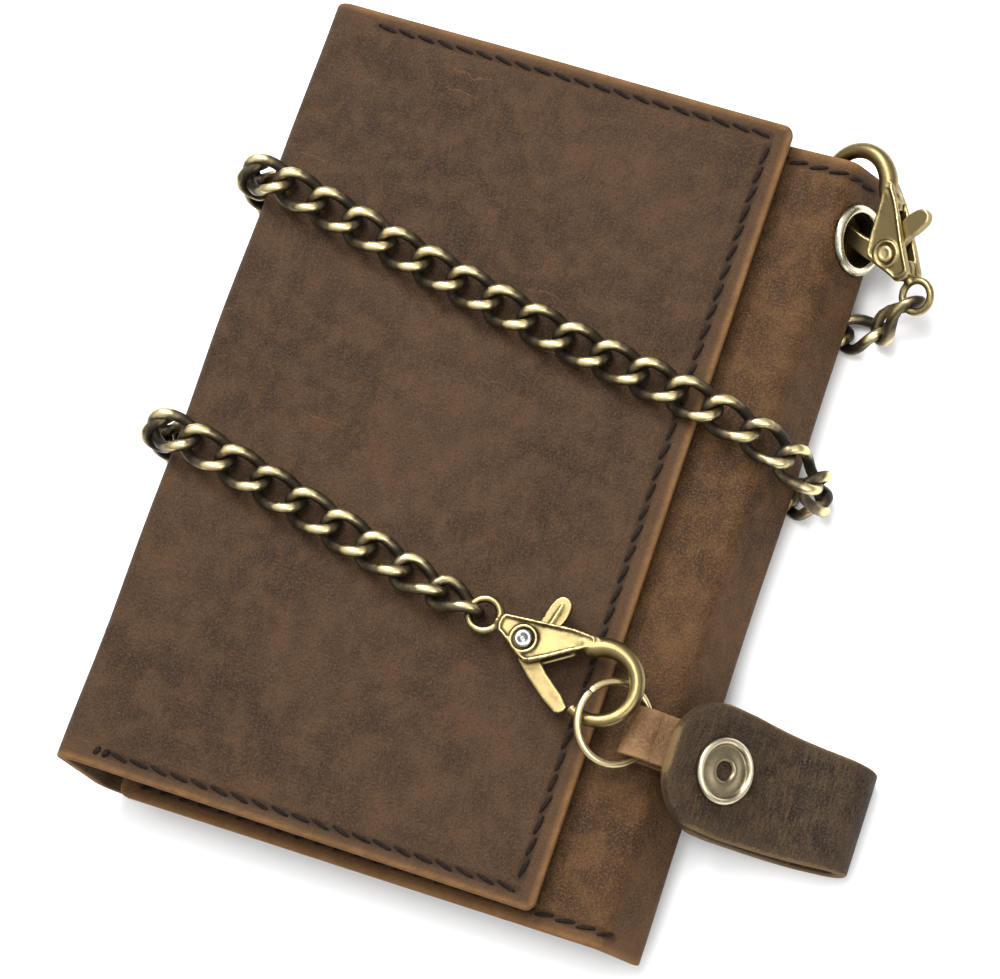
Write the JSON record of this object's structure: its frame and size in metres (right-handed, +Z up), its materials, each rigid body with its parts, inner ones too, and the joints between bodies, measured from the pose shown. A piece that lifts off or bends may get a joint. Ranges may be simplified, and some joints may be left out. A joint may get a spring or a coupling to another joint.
{
  "type": "chain wallet",
  "caption": "Trifold leather wallet wrapped twice with a curb chain, clasped to an eyelet and to a belt strap with a press snap.",
  "frame": {"origin": "on the table under the middle of the object, leaving out the chain", "axes": "+Z up out of the front flap, +Y along the folds towards the eyelet end, +X towards the right fold and the belt strap"},
  "size_m": [0.1142, 0.1234, 0.0285],
  "materials": {
    "wallet_leather": "oiled pull-up leather, mottled, satin",
    "strap_leather": "dark waxed harness leather, satin",
    "lining": "thin matt lining leather",
    "chain_brass": "antiqued brass, dark in the recesses, worn bright on top",
    "clasp_brass": "antiqued brass, cast, softly polished",
    "nickel": "polished nickel with a warm tint"
  },
  "bodies": {
    "wallet": {"back_panel": "wallet_leather", "centre_lining": "lining", "centre_pocket_1": "lining", "centre_pocket_2": "lining", "right_fold": "wallet_leather", "eyelet": "nickel", "chain_edge_1": "chain_brass", "chain_back_1": "chain_brass", "chain_edge_2": "chain_brass", "chain_back_2": "chain_brass"},
    "spine": {"spine_strip": "wallet_leather", "spine_lining": "lining", "chain_spine_1": "chain_brass", "chain_spine_2": "chain_brass"},
    "front_flap": {"front_panel": "wallet_leather", "flap_lining": "lining", "flap_pocket_1": "lining", "flap_pocket_2": "lining", "flap_pocket_3": "lining", "chain_front_1": "chain_brass", "chain_front_2": "chain_brass"},
    "inner_flap": {"inner_panel": "wallet_leather", "inner_lining": "lining", "inner_pocket_1": "lining", "inner_pocket_2": "lining"},
    "clasp_1": {"clasp_1_body": "clasp_brass", "clasp_1_rivet": "clasp_brass", "clasp_1_spring": "nickel"},
    "gate_1": {"clasp_1_gate": "clasp_brass"},
    "clasp_2": {"clasp_2_body": "clasp_brass", "clasp_2_rivet": "clasp_brass", "clasp_2_spring": "nickel"},
    "gate_2": {"clasp_2_gate": "clasp_brass"},
    "ring": {"belt_ring": "clasp_brass"},
    "strap": {"belt_strap": "strap_leather", "snap_stud": "nickel"},
    "strap_flap": {"strap_top": "strap_leather", "snap_cap": "nickel", "snap_socket": "nickel"}
  },
  "joints": [
    {"name": "spine_fold", "type": "hinge", "parent": "wallet", "child": "spine", "pos_m": [-0.0548, 0.00022, 0.0037], "axis": [0, -1, 0], "range_deg": [0, 90], "deforming": ["chain_spine_1", "chain_spine_2"]},
    {"name": "flap_fold", "type": "hinge", "parent": "spine", "child": "front_flap", "pos_m": [-0.0548, 0.00022, 0.0245], "axis": [0, -1, 0], "range_deg": [0, 96.3], "deforming": ["chain_front_1", "chain_front_2"]},
    {"name": "inner_fold", "type": "hinge", "parent": "wallet", "child": "inner_flap", "pos_m": [0.025, 0.00022, 0.0136], "axis": [0, 1, 0], "range_deg": [0, 25.3]},
    {"name": "clasp_1_hang", "type": "hinge", "parent": "wallet", "child": "clasp_1", "pos_m": [0.02925, 0.04822, 0.00905], "axis": [0, -1, 0], "range_deg": [0, 6]},
    {"name": "gate_1_press", "type": "hinge", "parent": "clasp_1", "child": "gate_1", "pos_m": [0.03544, 0.04661, 0.01105], "axis": [0.3655, 0.3035, -0.88], "range_deg": [0, 4], "stiffness_Nm_per_rad": 0.01, "springref_deg": -17.19},
    {"name": "clasp_2_swing", "type": "hinge", "parent": "front_flap", "child": "clasp_2", "pos_m": [-0.00203, -0.02259, 0.0215], "axis": [0, 0, 1], "range_deg": [0, 10]},
    {"name": "gate_2_press", "type": "hinge", "parent": "clasp_2", "child": "gate_2", "pos_m": [0.005, -0.02465, 0.0215], "axis": [0, 0, 1], "range_deg": [0, 25], "stiffness_Nm_per_rad": 0.01, "springref_deg": -17.19},
    {"name": "ring_swing", "type": "hinge", "parent": "clasp_2", "child": "ring", "pos_m": [0.01699, -0.02738, 0.0215], "axis": [0, 0, 1], "range_deg": [0, 15]},
    {"name": "strap_swing", "type": "hinge", "parent": "ring", "child": "strap", "pos_m": [0.02461, -0.03178, 0.01634], "axis": [0, -1, 0], "range_deg": [0, 12]},
    {"name": "strap_open", "type": "hinge", "parent": "strap", "child": "strap_flap", "pos_m": [0.0503, -0.03328, 0.009], "axis": [0, 1, 0], "range_deg": [0, 100]}
  ],
  "couplings": [
    {"joint": "flap_fold", "follows": "spine_fold", "ratio": 1.0688},
    {"joint": "inner_fold", "follows": "spine_fold", "ratio": 0.28}
  ]
}
